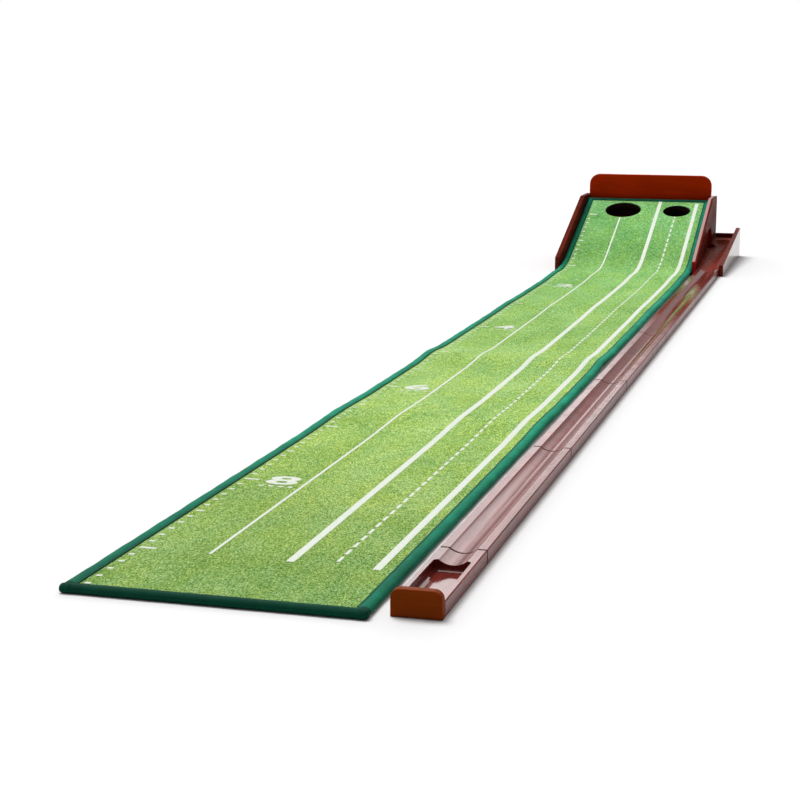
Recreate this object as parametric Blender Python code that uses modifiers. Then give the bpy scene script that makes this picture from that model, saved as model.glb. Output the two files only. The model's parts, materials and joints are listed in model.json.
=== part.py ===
"""Practice putting mat with a sloping wooden hole base and a sectional ball return track.

World frame: metres, +Z up, +Y from the player's end to the holes, +X to the ball track side.
The origin is the middle of the whole object's footprint, on the floor.
"""
from math import atan, cos, pi, radians, sin, tan

import bmesh
import bpy

# ------------------------------------------------------------------ driving dimensions
LENGTH = 3.015                     # front of the mat to the back of the base
FIT = 0.0003                       # clearance between pieces that touch

PANEL_T = 0.0110                   # side panel thickness
INSIDE_W = 0.3040                  # clear width between the side panels
BASE_L = 0.4360                    # side panel length
PANEL_FRONT_H = 0.0330             # height of a side panel at its front end
PANEL_TOP_H = 0.1480               # height of the level stretch at its back end
PANEL_CORNER_R = 0.0120

RAMP_ANGLE = radians(19.2)
RAMP_FOOT_Z = -0.0023              # height of the deck's top plane above the base's front end
DECK_T = 0.0060
DECK_NOSE_Y = 0.0100               # deck nose, back from the base's front end
DECK_END_Y = 0.3925

BOARD_T = 0.0120
BOARD_Y = 0.3995                   # backboard's front face, back from the base's front end
BOARD_BOTTOM = 0.0200
BOARD_TOP = 0.1980
BOARD_CORNER_R = 0.0250

SHEET_T = 0.0060                   # turf with its backing
SHEET_W = 0.3030
BINDING_W = 0.0110
BINDING_T = 0.0085
BEND_RADIUS = 0.4500               # where the turf turns up on to the ramp
SHEET_TOP_GAP = 0.0040             # turf's top edge to the deck's back end, along the slope
SHEET_LEAN = 0.0040                # the runner's front end lies this far to the left

HOLE_FROM_TOP = 0.0680             # hole centres to the turf's top edge, along the slope
HOLES = (("large", 0.0806, 0.0435), ("small", 0.2118, 0.0330))   # name, x from tick line, radius
TICK_LINE_X = 0.0165               # tick line to the turf's left edge

TRACK_W = 0.0490
TRACK_H = 0.0150
GROOVE_W = 0.0290
GROOVE_DEPTH = 0.0052
SECTION_COUNT = 5
SECTION_L = 0.4754
BALL_TRAY_L = 0.1720
POCKET_L = 0.1250
POCKET_W = 0.0380
POCKET_FLOOR = 0.0030
POCKET_FRONT_WALL = 0.0035
CAP_T = 0.0110
CAP_H = 0.0265
CAP_CORNER_R = 0.0090

DOWEL_R = 0.0022
DOWEL_L = 0.0240
DOWEL_X = 0.0192                   # dowel axis to the track's centre line
DOWEL_Z = 0.0066

WING_T = 0.0100
WING_NOSE_H = 0.0255
WING_NOSE_L = 0.0120
WING_TIP_H = 0.0700
TRAY_BACK_H = 0.0450
TRAY_SLOPE_L = 0.3675
TRAY_WALL_T = 0.0100
TRAY_WALL_H = 0.0555
CHANNEL_END_DEPTH = 0.0105
CUP_R = 0.0042                     # brass buffer above the channel's far end
CUP_L = 0.0030

EXIT_Y0 = 0.2330                   # ball exit through the right panel, from the base's front end
EXIT_Y1 = 0.3130
EXIT_Z0 = 0.0290
EXIT_Z1 = 0.0800
EXIT_CORNER_R = 0.0100
LANE_FRONT_Y = 0.2240              # back face of the rail in front of the ball lane
LANE_RAIL_T = 0.0080
LANE_T = 0.0050
LANE_LEFT_Z = 0.0600
LANE_RIGHT_Z = 0.0360

CLEAT_W = 0.0160
FRONT_CLEAT_Y = 0.1300
BACK_CLEAT_Y = 0.3745
BACK_CLEAT_H = 0.0220

# ------------------------------------------------------------------ derived places
WIDTH = 2 * PANEL_T + INSIDE_W + TRACK_W + WING_T + 3 * FIT
X_LEFT = -WIDTH / 2
INSIDE_LEFT = X_LEFT + PANEL_T
INSIDE_RIGHT = INSIDE_LEFT + INSIDE_W
SHEET_MID_X = (INSIDE_LEFT + INSIDE_RIGHT) / 2
TRACK_LEFT = INSIDE_RIGHT + PANEL_T + 2 * FIT
TRACK_MID_X = TRACK_LEFT + TRACK_W / 2
WING_LEFT = TRACK_LEFT + TRACK_W + FIT

Y_FRONT = -LENGTH / 2
Y_BACK = LENGTH / 2
BASE_Y = Y_BACK - BASE_L
SLOPE = tan(RAMP_ANGLE)
UNDER = DECK_T / cos(RAMP_ANGLE)

GROOVE_R = (GROOVE_W ** 2 / 4 + GROOVE_DEPTH ** 2) / (2 * GROOVE_DEPTH)
TRAY_SLOPE = (TRAY_BACK_H - TRACK_H) / TRAY_SLOPE_L

OAK_RED = (0.135, 0.022, 0.012)
MAHOGANY = (0.200, 0.060, 0.052)
BOARD_RED = (0.150, 0.016, 0.004)
CAP_BROWN = (0.095, 0.022, 0.006)
TURF_GREEN = (0.200, 0.400, 0.085)
BINDING_GREEN = (0.012, 0.110, 0.055)
INSIDE_STAIN = (0.030, 0.009, 0.006)
DOWEL_BEECH = (0.520, 0.330, 0.170)
BRASS = (0.640, 0.480, 0.200)

# Orientations of a drawn outline: across the object (y, z), and along the track (x, z).
SIDE_ON = (pi / 2, 0, pi / 2)
END_ON = (pi / 2, 0, 0)


def deck_top(y):
    """Height of the deck's top plane at y metres behind the base's front end."""
    return RAMP_FOOT_Z + SLOPE * y


# ------------------------------------------------------------------ tools
def clear_scene():
    for old in list(bpy.data.objects):
        bpy.data.objects.remove(old, do_unlink=True)
    for collection in list(bpy.data.collections):
        bpy.data.collections.remove(collection)


def new_collection(name):
    collection = bpy.data.collections.new(name)
    bpy.context.scene.collection.children.link(collection)
    return collection


def make_material(name, colour, roughness, metallic=0.0, coat=0.0):
    material = bpy.data.materials.new(name)
    material.use_nodes = True
    shader = material.node_tree.nodes["Principled BSDF"]
    shader.inputs["Base Color"].default_value = (*colour, 1)
    shader.inputs["Roughness"].default_value = roughness
    shader.inputs["Metallic"].default_value = metallic
    shader.inputs["Coat Weight"].default_value = coat
    material.diffuse_color = (*colour, 1)
    material.roughness = roughness
    material.metallic = metallic
    return material


def arc(cx, cy, radius, start, end, steps):
    """Points on an arc, angles in degrees, both ends included."""
    turns = [radians(start + (end - start) * i / steps) for i in range(steps + 1)]
    return [(cx + radius * cos(t), cy + radius * sin(t)) for t in turns]


def weld(mesh):
    work = bmesh.new()
    work.from_mesh(mesh)
    bmesh.ops.remove_doubles(work, verts=work.verts, dist=0.00002)
    bmesh.ops.recalc_face_normals(work, faces=work.faces)
    work.to_mesh(mesh)
    work.free()


def plate(name, outline, depth, rotation, location, edge=0.001):
    """A flat board: a drawn outline filled and extruded, with rounded edges."""
    curve = bpy.data.curves.new(name, "CURVE")
    curve.dimensions = "2D"
    curve.fill_mode = "BOTH"
    curve.extrude = depth / 2 - edge
    curve.bevel_depth = edge
    curve.bevel_resolution = 1
    curve.offset = -edge
    spline = curve.splines.new("POLY")
    spline.points.add(len(outline) - 1)
    for point, (u, v) in zip(spline.points, outline):
        point.co = (u, v, 0, 1)
    spline.use_cyclic_u = True
    drawing = bpy.data.objects.new(name + "_outline", curve)
    PARTS.objects.link(drawing)
    mesh = bpy.data.meshes.new_from_object(drawing)
    bpy.data.objects.remove(drawing, do_unlink=True)
    weld(mesh)
    board = bpy.data.objects.new(name, mesh)
    PARTS.objects.link(board)
    board.rotation_euler = rotation
    board.location = location
    return board


def block(name, low, high, edge=0.0006, collection=None):
    """A box between two corners, with a small bevel."""
    mesh = bpy.data.meshes.new(name)
    size = [b - a for a, b in zip(low, high)]
    work = bmesh.new()
    bmesh.ops.create_cube(work, size=1)
    bmesh.ops.scale(work, vec=size, verts=work.verts)
    work.to_mesh(mesh)
    work.free()
    box = bpy.data.objects.new(name, mesh)
    (collection or PARTS).objects.link(box)
    box.location = [(a + b) / 2 for a, b in zip(low, high)]
    if edge:
        bevel = box.modifiers.new("Bevel", "BEVEL")
        bevel.width = edge
        bevel.segments = 2
        bevel.limit_method = "ANGLE"
    return box


def rod(name, radius, length, location, rotation, sides=24, collection=None):
    mesh = bpy.data.meshes.new(name)
    work = bmesh.new()
    bmesh.ops.create_cone(work, cap_ends=True, segments=sides, radius1=radius,
                          radius2=radius, depth=length)
    work.to_mesh(mesh)
    work.free()
    pin = bpy.data.objects.new(name, mesh)
    (collection or PARTS).objects.link(pin)
    pin.location = location
    pin.rotation_euler = rotation
    return pin


def cut(target, cutter):
    cutter.hide_render = True
    cutter.display_type = "WIRE"
    boolean = target.modifiers.new("Cut " + cutter.name, "BOOLEAN")
    boolean.operation = "DIFFERENCE"
    boolean.solver = "EXACT"
    boolean.object = cutter


def finish(part, material, smooth=radians(35)):
    part.data.materials.clear()
    part.data.materials.append(material)
    part.data.shade_smooth()
    part.data.set_sharp_from_angle(angle=smooth)
    return part


# ------------------------------------------------------------------ the wooden base
def panel_outline():
    r = PANEL_CORNER_R
    nose = 0.006
    top_y = (PANEL_TOP_H - PANEL_FRONT_H) / SLOPE
    outline = [(0, 0)]
    outline += arc(nose, PANEL_FRONT_H - nose, nose, 180, 109, 5)
    outline += [(top_y, PANEL_TOP_H)]
    outline += arc(BASE_L - r, PANEL_TOP_H - r, r, 90, 0, 7)
    outline += [(BASE_L, 0)]
    return outline


def make_panels(wood):
    left_mid = X_LEFT + PANEL_T / 2
    right_mid = INSIDE_RIGHT + PANEL_T / 2
    left = plate("panel_left", panel_outline(), PANEL_T, SIDE_ON, (left_mid, BASE_Y, 0))
    right = plate("panel_right", panel_outline(), PANEL_T, SIDE_ON, (right_mid, BASE_Y, 0))
    r = EXIT_CORNER_R
    mouth = [(EXIT_Y0, EXIT_Z0), (EXIT_Y1, EXIT_Z0)]
    mouth += arc(EXIT_Y1 - r, EXIT_Z1 - r, r, 0, 90, 6)
    mouth += arc(EXIT_Y0 + r, EXIT_Z1 - r, r, 90, 180, 6)
    cutter = plate("exit_cutter", mouth, 3 * PANEL_T, SIDE_ON, (right_mid, BASE_Y, 0), edge=0)
    move_to_cutters(cutter)
    cut(right, cutter)
    finish(left, wood)
    finish(right, wood)


def move_to_cutters(cutter):
    PARTS.objects.unlink(cutter)
    CUTTERS.objects.link(cutter)


def hole_cutter(name, from_tick, radius):
    """A cylinder square to the ramp, through the turf and the deck."""
    along = (DECK_END_Y / cos(RAMP_ANGLE)) - SHEET_TOP_GAP - HOLE_FROM_TOP
    y = along * cos(RAMP_ANGLE)
    x = SHEET_MID_X - SHEET_W / 2 + TICK_LINE_X + from_tick
    centre = (x, BASE_Y + y, deck_top(y))
    return rod(name, radius, 0.06, centre, (RAMP_ANGLE, 0, 0), sides=64, collection=CUTTERS)


def make_deck(wood, holes):
    y0 = DECK_NOSE_Y
    y1 = DECK_END_Y
    foot = (UNDER - RAMP_FOOT_Z) / SLOPE
    outline = [(y0, 0), (foot, 0), (y1, deck_top(y1) - UNDER), (y1, deck_top(y1))]
    outline += [(y0, deck_top(y0))]
    deck = plate("ramp_deck", outline, INSIDE_W - 2 * FIT, SIDE_ON, (SHEET_MID_X, BASE_Y, 0),
                 edge=0)
    for cutter in holes:
        cut(deck, cutter)
    finish(deck, wood)


def inside_block(name, y0, y1, z0, z1, wood):
    low = (INSIDE_LEFT + FIT, BASE_Y + y0, z0)
    high = (INSIDE_RIGHT - FIT, BASE_Y + y1, z1)
    return finish(block(name, low, high), wood)


def make_inside(wood, red):
    """Cleats under the deck, the ball lane with its rail, and the backboard's rest and rail."""
    y = FRONT_CLEAT_Y
    inside_block("deck_cleat_front", y, y + CLEAT_W, 0, deck_top(y) - UNDER - FIT, wood)
    y = BACK_CLEAT_Y
    top = deck_top(y) - UNDER - FIT
    inside_block("deck_cleat_back", y, y + CLEAT_W, top - BACK_CLEAT_H, top, wood)
    y = LANE_FRONT_Y - LANE_RAIL_T
    inside_block("lane_rail", y, LANE_FRONT_Y, 0, deck_top(y) - UNDER - FIT, wood)
    board_back = BOARD_Y + BOARD_T
    inside_block("board_rest", BOARD_Y, board_back, 0, BOARD_BOTTOM - FIT, wood)
    inside_block("back_rail", board_back + FIT, board_back + FIT + 0.012, 0, 0.132, red)
    x0 = INSIDE_LEFT + FIT
    x1 = INSIDE_RIGHT - FIT
    outline = [(x0, LANE_LEFT_Z - LANE_T), (x1, LANE_RIGHT_Z - LANE_T)]
    outline += [(x1, LANE_RIGHT_Z), (x0, LANE_LEFT_Z)]
    y0 = LANE_FRONT_Y + FIT
    y1 = BOARD_Y - FIT
    lane = plate("ball_lane", outline, y1 - y0, END_ON, (0, BASE_Y + (y0 + y1) / 2, 0), edge=0)
    finish(lane, wood)


def make_backboard(wood):
    r = BOARD_CORNER_R
    half = INSIDE_W / 2 - 2 * FIT
    outline = [(-half, BOARD_BOTTOM), (half, BOARD_BOTTOM)]
    outline += arc(half - r, BOARD_TOP - r, r, 0, 90, 10)
    outline += arc(-half + r, BOARD_TOP - r, r, 90, 180, 10)
    place = (SHEET_MID_X, BASE_Y + BOARD_Y + BOARD_T / 2, 0)
    board = plate("backboard", outline, BOARD_T - FIT, END_ON, place, edge=0.0018)
    finish(board, wood)


# ------------------------------------------------------------------ ball tray beside the base
def make_side_tray(wood, brass):
    end_y = BASE_L - TRAY_WALL_T - FIT
    outline = [(0, 0), (0, TRACK_H), (TRAY_SLOPE_L, TRAY_BACK_H)]
    outline += [(end_y, TRAY_BACK_H), (end_y, 0)]
    tray = plate("tray_block", outline, TRACK_W, SIDE_ON, (TRACK_MID_X, BASE_Y, 0), edge=0.0005)
    for cutter in channel_cutters() + dowel_bores("tray_bore", BASE_Y, BASE_Y + DOWEL_L / 2):
        cut(tray, cutter)
    finish(tray, wood)

    low = (TRACK_LEFT, Y_BACK - TRAY_WALL_T, 0)
    high = (TRACK_LEFT + TRACK_W, Y_BACK, TRAY_WALL_H)
    finish(block("tray_wall", low, high, edge=0.0012), wood)

    r = 0.009
    outline = [(0, 0)]
    outline += arc(0.003, WING_NOSE_H - 0.003, 0.003, 180, 90, 4)
    outline += [(WING_NOSE_L, WING_NOSE_H), (BASE_L - 0.03, WING_TIP_H - 0.0020)]
    outline += arc(BASE_L - r, WING_TIP_H - r, r, 90, 0, 6)
    outline += [(BASE_L, 0)]
    place = (WING_LEFT + WING_T / 2, BASE_Y, 0)
    finish(plate("wing", outline, WING_T, SIDE_ON, place, edge=0.0012), wood)

    face = INSIDE_RIGHT + PANEL_T
    spot = (BASE_Y + EXIT_Y1 + 0.012, 0.062)
    cup = rod("brass_cup", CUP_R, CUP_L, (0, 0, 0), (0, pi / 2, 0), sides=32)
    cup.location = (face + FIT + CUP_L / 2, *spot)
    finish(cup, brass)


def channel_cutters():
    """The routed channel: deeper towards the back, round at its end, open to the ball exit."""
    shallow = TRACK_H - GROOVE_DEPTH
    deep = TRAY_BACK_H - CHANNEL_END_DEPTH
    run = TRAY_SLOPE_L - GROOVE_R * 0.7
    tilt = atan((deep - shallow) / run)
    length = run / cos(tilt) + 0.02
    mid_y = BASE_Y + run - length / 2 * cos(tilt)
    mid_z = deep + GROOVE_R - length / 2 * sin(tilt)
    trough = rod("channel_cutter", GROOVE_R, length, (TRACK_MID_X, mid_y, mid_z),
                 (pi / 2 + tilt, 0, 0), sides=96, collection=CUTTERS)
    mesh = bpy.data.meshes.new("channel_end_cutter")
    work = bmesh.new()
    bmesh.ops.create_uvsphere(work, u_segments=48, v_segments=24, radius=GROOVE_R)
    work.to_mesh(mesh)
    work.free()
    end = bpy.data.objects.new("channel_end_cutter", mesh)
    CUTTERS.objects.link(end)
    end.location = (TRACK_MID_X, BASE_Y + run, deep + GROOVE_R)
    mid = (EXIT_Y0 + EXIT_Y1) / 2
    floor = shallow + (deep - shallow) * EXIT_Y0 / run
    low = (TRACK_LEFT - 0.01, BASE_Y + EXIT_Y0 + 0.006, floor + 0.0045)
    high = (TRACK_MID_X, BASE_Y + EXIT_Y1 - 0.006, floor + 0.06)
    side = block("channel_side_cutter", low, high, edge=0, collection=CUTTERS)
    side.rotation_euler = (tilt, 0, 0)
    side.location.y = BASE_Y + mid
    return [trough, end, side]


# ------------------------------------------------------------------ ball return track
def dowel_bores(name, y0, y1):
    """Cutters for the two dowel bores between y0 and y1; they run out past both ends."""
    bores = []
    for side, x in (("left", -DOWEL_X), ("right", DOWEL_X)):
        place = (TRACK_MID_X + x, (y0 + y1) / 2, DOWEL_Z)
        length = y1 - y0 + 0.001
        bores.append(rod(name + "_" + side, DOWEL_R + FIT, length, place, (pi / 2, 0, 0),
                         collection=CUTTERS))
    return bores


def track_outline():
    half = TRACK_W / 2
    groove = GROOVE_W / 2
    chamfer = 0.0012
    centre_z = TRACK_H - GROOVE_DEPTH + GROOVE_R
    swing = 90 - atan((centre_z - TRACK_H) / groove) * 180 / pi
    outline = [(-half, 0), (half, 0), (half, TRACK_H - chamfer), (half - chamfer, TRACK_H)]
    outline += arc(0, centre_z, GROOVE_R, -90 + swing, -90 - swing, 14)
    outline += [(-half + chamfer, TRACK_H), (-half, TRACK_H - chamfer)]
    return outline


def make_track(wood, cap_wood, dowel_wood):
    joint_y = BASE_Y
    for number in range(SECTION_COUNT, 0, -1):
        back = joint_y - FIT / 2
        front = joint_y - SECTION_L + FIT / 2
        name = "track_section_%d" % number
        place = (TRACK_MID_X, (front + back) / 2, 0)
        section = plate(name, track_outline(), back - front, END_ON, place, edge=0)
        bores = dowel_bores(name + "_back_bore", back - DOWEL_L / 2, back)
        bores += dowel_bores(name + "_front_bore", front, front + DOWEL_L / 2)
        for cutter in bores:
            cut(section, cutter)
        finish(section, wood)
        make_dowels("dowel_%d" % number, joint_y, dowel_wood)
        joint_y -= SECTION_L
    make_dowels("dowel_0", joint_y, dowel_wood)
    make_ball_tray(joint_y - FIT / 2, wood, cap_wood)


def make_dowels(name, joint_y, wood):
    for side, x in (("left", -DOWEL_X), ("right", DOWEL_X)):
        place = (TRACK_MID_X + x, joint_y, DOWEL_Z)
        pin = rod(name + "_" + side, DOWEL_R, DOWEL_L - 2 * FIT, place, (pi / 2, 0, 0), sides=20)
        finish(pin, wood)


def make_ball_tray(back, wood, cap_wood):
    front = back - BALL_TRAY_L
    place = (TRACK_MID_X, (front + back) / 2, 0)
    tray = plate("ball_tray", track_outline(), BALL_TRAY_L, END_ON, place, edge=0)
    y0 = front + POCKET_FRONT_WALL
    low = (TRACK_MID_X - POCKET_W / 2, y0, POCKET_FLOOR)
    high = (TRACK_MID_X + POCKET_W / 2, y0 + POCKET_L, 0.05)
    pocket = block("pocket_cutter", low, high, edge=0.0045, collection=CUTTERS)
    pocket.modifiers["Bevel"].segments = 4
    cut(tray, pocket)
    for cutter in dowel_bores("ball_tray_bore", back - DOWEL_L / 2, back):
        cut(tray, cutter)
    finish(tray, wood)

    half = TRACK_W / 2
    r = CAP_CORNER_R
    outline = [(-half, 0), (half, 0)]
    outline += arc(half - r, CAP_H - r, r, 0, 90, 8)
    outline += arc(-half + r, CAP_H - r, r, 90, 180, 8)
    place = (TRACK_MID_X, front - FIT - CAP_T / 2, 0)
    finish(plate("end_cap", outline, CAP_T, END_ON, place, edge=0.0014), cap_wood)


# ------------------------------------------------------------------ turf
def sheet_path(rise, start, end):
    """Points (y, z) at a height above the surface the turf lies on: floor, bend, then ramp.

    start and end are lengths along the turf from its front edge.
    """
    surface = deck_top(0) + FIT / cos(RAMP_ANGLE)
    meet = -surface / SLOPE
    tangent = BEND_RADIUS * tan(RAMP_ANGLE / 2)
    bend_y = BASE_Y + meet - tangent
    flat = bend_y - Y_FRONT
    curved = BEND_RADIUS * RAMP_ANGLE
    stations = [start, end]
    stations += [flat + curved * i / 12 for i in range(13)]
    points = []
    for s in sorted(t for t in stations if start <= t <= end):
        angle = min(max(s - flat, 0) / BEND_RADIUS, RAMP_ANGLE)
        past = max(s - flat - curved, 0)
        y = Y_FRONT + min(s, flat) + BEND_RADIUS * sin(angle) + past * cos(angle)
        z = BEND_RADIUS * (1 - cos(angle)) + past * sin(angle)
        points.append((y - rise * sin(angle), z + rise * cos(angle)))
    return points


def sheet_length():
    """Flat length of the turf, from its front edge to its top edge on the ramp."""
    top_y = DECK_END_Y - SHEET_TOP_GAP * cos(RAMP_ANGLE)
    full = LENGTH
    for _ in range(40):
        y = sheet_path(0, 0, full)[-1][0]
        full -= (y - (BASE_Y + top_y)) / cos(RAMP_ANGLE)
    return full


def strip(name, x0, x1, start, end, thickness, edge, material):
    """A piece of the turf or its binding between two lengths along the turf."""
    outline = sheet_path(0, start, end) + sheet_path(thickness, start, end)[::-1]
    piece = plate(name, outline, x1 - x0, SIDE_ON, ((x0 + x1) / 2, 0, 0), edge=edge)
    for vertex in piece.data.vertices:
        ahead = min(max((BASE_Y - vertex.co.x) / (BASE_Y - Y_FRONT), 0), 1)
        vertex.co.z -= SHEET_LEAN * ahead
    return finish(piece, material)


def make_turf(turf, binding, holes):
    left = SHEET_MID_X - SHEET_W / 2
    right = SHEET_MID_X + SHEET_W / 2
    full = sheet_length()
    inner_left = left + BINDING_W + FIT
    inner_right = right - BINDING_W - FIT
    split = full - 0.32
    strip("turf_runner", inner_left, inner_right, BINDING_W + FIT, split, SHEET_T, 0, turf)
    ramp = strip("turf_ramp", inner_left, inner_right, split + FIT, full - BINDING_W - FIT,
                 SHEET_T, 0, turf)
    for cutter in holes:
        cut(ramp, cutter)
    soft = 0.0028
    strip("binding_front", left, right, 0, BINDING_W, BINDING_T, soft, binding)
    strip("binding_top", left, right, full - BINDING_W, full, BINDING_T, soft, binding)
    ends = (BINDING_W + FIT, full - BINDING_W - FIT)
    strip("binding_left", left, left + BINDING_W, *ends, BINDING_T, soft, binding)
    strip("binding_right", right - BINDING_W, right, *ends, BINDING_T, soft, binding)


# ------------------------------------------------------------------ assembly
def main():
    panel_wood = make_material("panel_wood", OAK_RED, 0.22, coat=0.5)
    board_wood = make_material("board_wood", BOARD_RED, 0.18, coat=0.6)
    track_wood = make_material("track_wood", MAHOGANY, 0.20, coat=0.6)
    cap_wood = make_material("cap_wood", CAP_BROWN, 0.28, coat=0.4)
    inside_wood = make_material("inside_wood", INSIDE_STAIN, 0.60)
    dowel_wood = make_material("dowel_wood", DOWEL_BEECH, 0.55)
    turf = make_material("turf", TURF_GREEN, 0.95)
    binding = make_material("binding", BINDING_GREEN, 0.85)
    brass = make_material("brass", BRASS, 0.30, metallic=1.0)

    holes = [hole_cutter("%s_hole_cutter" % name, x, r) for name, x, r in HOLES]
    make_panels(panel_wood)
    make_deck(inside_wood, holes)
    make_inside(inside_wood, panel_wood)
    make_backboard(board_wood)
    make_side_tray(panel_wood, brass)
    make_track(track_wood, cap_wood, dowel_wood)
    make_turf(turf, binding, holes)


clear_scene()
PARTS = new_collection("practice_putting_mat")
CUTTERS = new_collection("cutters")
main()
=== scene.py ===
"""Practice putting mat: printed turf, fabric binding, lacquered wood base and ball return track.

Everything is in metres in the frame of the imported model: +Z up, +Y from the player's end to
the holes, +X to the ball track side.
"""
import json
from math import ceil, cos, pi, radians, sin, tan

import bmesh
import bpy
from bpy.props import FloatProperty, FloatVectorProperty, IntProperty, PointerProperty
from bpy.types import Operator, Panel, PropertyGroup
from mathutils import Matrix, Vector

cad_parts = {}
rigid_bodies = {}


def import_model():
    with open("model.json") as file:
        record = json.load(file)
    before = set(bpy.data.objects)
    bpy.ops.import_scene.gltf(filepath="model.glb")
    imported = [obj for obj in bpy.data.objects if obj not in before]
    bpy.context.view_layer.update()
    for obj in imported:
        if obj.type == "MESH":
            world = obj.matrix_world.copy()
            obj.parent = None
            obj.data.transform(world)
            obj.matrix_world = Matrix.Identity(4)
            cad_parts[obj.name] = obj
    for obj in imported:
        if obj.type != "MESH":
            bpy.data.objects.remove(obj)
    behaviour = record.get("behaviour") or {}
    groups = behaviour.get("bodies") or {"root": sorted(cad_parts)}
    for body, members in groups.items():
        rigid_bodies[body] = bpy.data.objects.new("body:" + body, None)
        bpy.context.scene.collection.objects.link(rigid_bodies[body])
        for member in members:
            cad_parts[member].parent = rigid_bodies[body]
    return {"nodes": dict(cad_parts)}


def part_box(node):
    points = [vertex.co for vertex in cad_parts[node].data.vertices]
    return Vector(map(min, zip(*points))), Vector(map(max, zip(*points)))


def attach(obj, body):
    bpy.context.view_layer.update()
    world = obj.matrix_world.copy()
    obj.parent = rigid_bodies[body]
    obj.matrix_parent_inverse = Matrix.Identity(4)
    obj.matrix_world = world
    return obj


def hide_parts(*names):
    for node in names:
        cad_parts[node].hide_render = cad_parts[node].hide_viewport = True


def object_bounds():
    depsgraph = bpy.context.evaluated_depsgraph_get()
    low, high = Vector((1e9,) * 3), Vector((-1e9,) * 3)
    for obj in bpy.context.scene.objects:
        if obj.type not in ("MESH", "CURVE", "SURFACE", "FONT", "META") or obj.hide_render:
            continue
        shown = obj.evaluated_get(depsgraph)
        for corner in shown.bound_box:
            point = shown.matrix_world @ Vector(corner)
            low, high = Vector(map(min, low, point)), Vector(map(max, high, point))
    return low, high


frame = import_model()
CAD_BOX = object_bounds()

bl_info = {
    "name": "Practice Putting Mat",
    "version": (1, 0, 0),
    "blender": (4, 5, 0),
    "location": "View3D > Sidebar > Putting Mat",
    "description": "Builds the turf, binding, printed marks and wood finishes of a putting mat",
    "category": "Add Mesh",
}

# ------------------------------------------------------------------ places read from the frame
BASE_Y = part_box("panel_left")[0].y             # front end of the wooden base
Y_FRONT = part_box("binding_front")[0].y         # front edge of the mat
TOP_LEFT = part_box("binding_top")[0].x          # left edge of the mat where it lies on the base
MAT_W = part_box("binding_top")[1].x - TOP_LEFT
TOP_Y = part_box("binding_top")[1].y             # top edge of the mat on the ramp
TAPE_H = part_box("binding_front")[1].z
TAPE_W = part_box("binding_front")[1].y - Y_FRONT

RAMP = radians(19.2)
BEND_R = 0.45                                  # radius where the mat turns up on to the ramp
RAMP_FOOT = -0.00198                           # ramp surface height above the base's front end
LEAN = 0.004                                   # the mat's front end lies this far to the left

BEND_START = BASE_Y - RAMP_FOOT / tan(RAMP) - BEND_R * tan(RAMP / 2) - Y_FRONT
BEND_END = BEND_START + BEND_R * RAMP
MAT_L = BEND_END + (TOP_Y - Y_FRONT - BEND_START - BEND_R * sin(RAMP)) / cos(RAMP)

SHEET_LOW = 0.0006                             # underside of the turf's backing
SHEET_TOP = 0.0060
TICK_LINE = 0.0165                             # row of distance marks, from the mat's left edge
SECTION_L = BASE_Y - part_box("track_section_4")[1].y - 0.00015
NINE_FOOT = 0.1470                             # the nine foot mark, from the mat's front edge
FOOT = 0.3048
INCH = 0.0254
HOLE_S = MAT_L - 0.068                         # hole centres along the mat
HOLES = ((0.0806 + TICK_LINE, 0.0435), (0.2118 + TICK_LINE, 0.0330))
CREASE_Y = -0.155                              # sharpest of the rises across the mat
STATION = 0.010                                # spacing of the cross rows that follow the bend
TURF_INSET = 0.0025                            # the turf's edge inside the folded tape
TURF_COLUMNS = 24
STITCH_R = 0.00032


# ------------------------------------------------------------------ where a point of the mat lies
def wave(y, height):
    """Height of the gentle rises that the unrolled mat keeps."""
    total = 0.0
    for middle, reach, share in ((-0.66, 0.17, 0.8), (CREASE_Y, 0.11, 1.2), (0.45, 0.16, 0.5),
                                 (0.97, 0.16, 1.1)):
        t = abs(y - middle) / reach
        if t < 1:
            total += share * (0.5 + 0.5 * cos(pi * t)) * (1 - 0.35 * t)
    return total * height


def on_mat(across, along, rise, height):
    """The place of a point of the flat mat: across from its left edge, along from its front."""
    angle = min(max(along - BEND_START, 0) / BEND_R, RAMP)
    past = max(along - BEND_END, 0)
    y = Y_FRONT + min(along, BEND_START) + BEND_R * sin(angle) + past * cos(angle)
    z = BEND_R * (1 - cos(angle)) + past * sin(angle)
    ahead = min(max((BASE_Y - y) / (BASE_Y - Y_FRONT), 0), 1)
    z += wave(y, height)
    return Vector((TOP_LEFT + across - LEAN * ahead, y - rise * sin(angle), z + rise * cos(angle)))


def stations(start, end, step=STATION):
    """Lengths along the mat from start to end, on the shared cross rows between."""
    first = ceil(start / step + 1e-6)
    last = ceil(end / step - 1e-6)
    return [start] + [i * step for i in range(first, last)] + [end]


# ------------------------------------------------------------------ mesh tools
def piece_from(name, work, smooth=True):
    """An object from a bmesh, with its normals outward."""
    bmesh.ops.recalc_face_normals(work, faces=work.faces)
    for face in work.faces:
        face.smooth = smooth
    mesh = bpy.data.meshes.new(name)
    work.to_mesh(mesh)
    work.free()
    piece = bpy.data.objects.new(name, mesh)
    bpy.context.scene.collection.objects.link(piece)
    return piece


def applied(piece):
    """The piece with its modifiers worked into its mesh."""
    seen = piece.evaluated_get(bpy.context.evaluated_depsgraph_get())
    mesh = bpy.data.meshes.new_from_object(seen)
    piece.modifiers.clear()
    piece.data = mesh
    return piece


def loft(work, rows, closed_rows=True, ends=True):
    """Skins equal rows of points into the bmesh; a closed row is a ring."""
    made = [[work.verts.new(p) for p in row] for row in rows]
    count = len(rows[0])
    for a, b in zip(made, made[1:]):
        for i in range(count if closed_rows else count - 1):
            j = (i + 1) % count
            work.faces.new((a[i], a[j], b[j], b[i]))
    if closed_rows and ends:
        work.faces.new(made[0][::-1])
        work.faces.new(made[-1])
    return made


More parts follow.
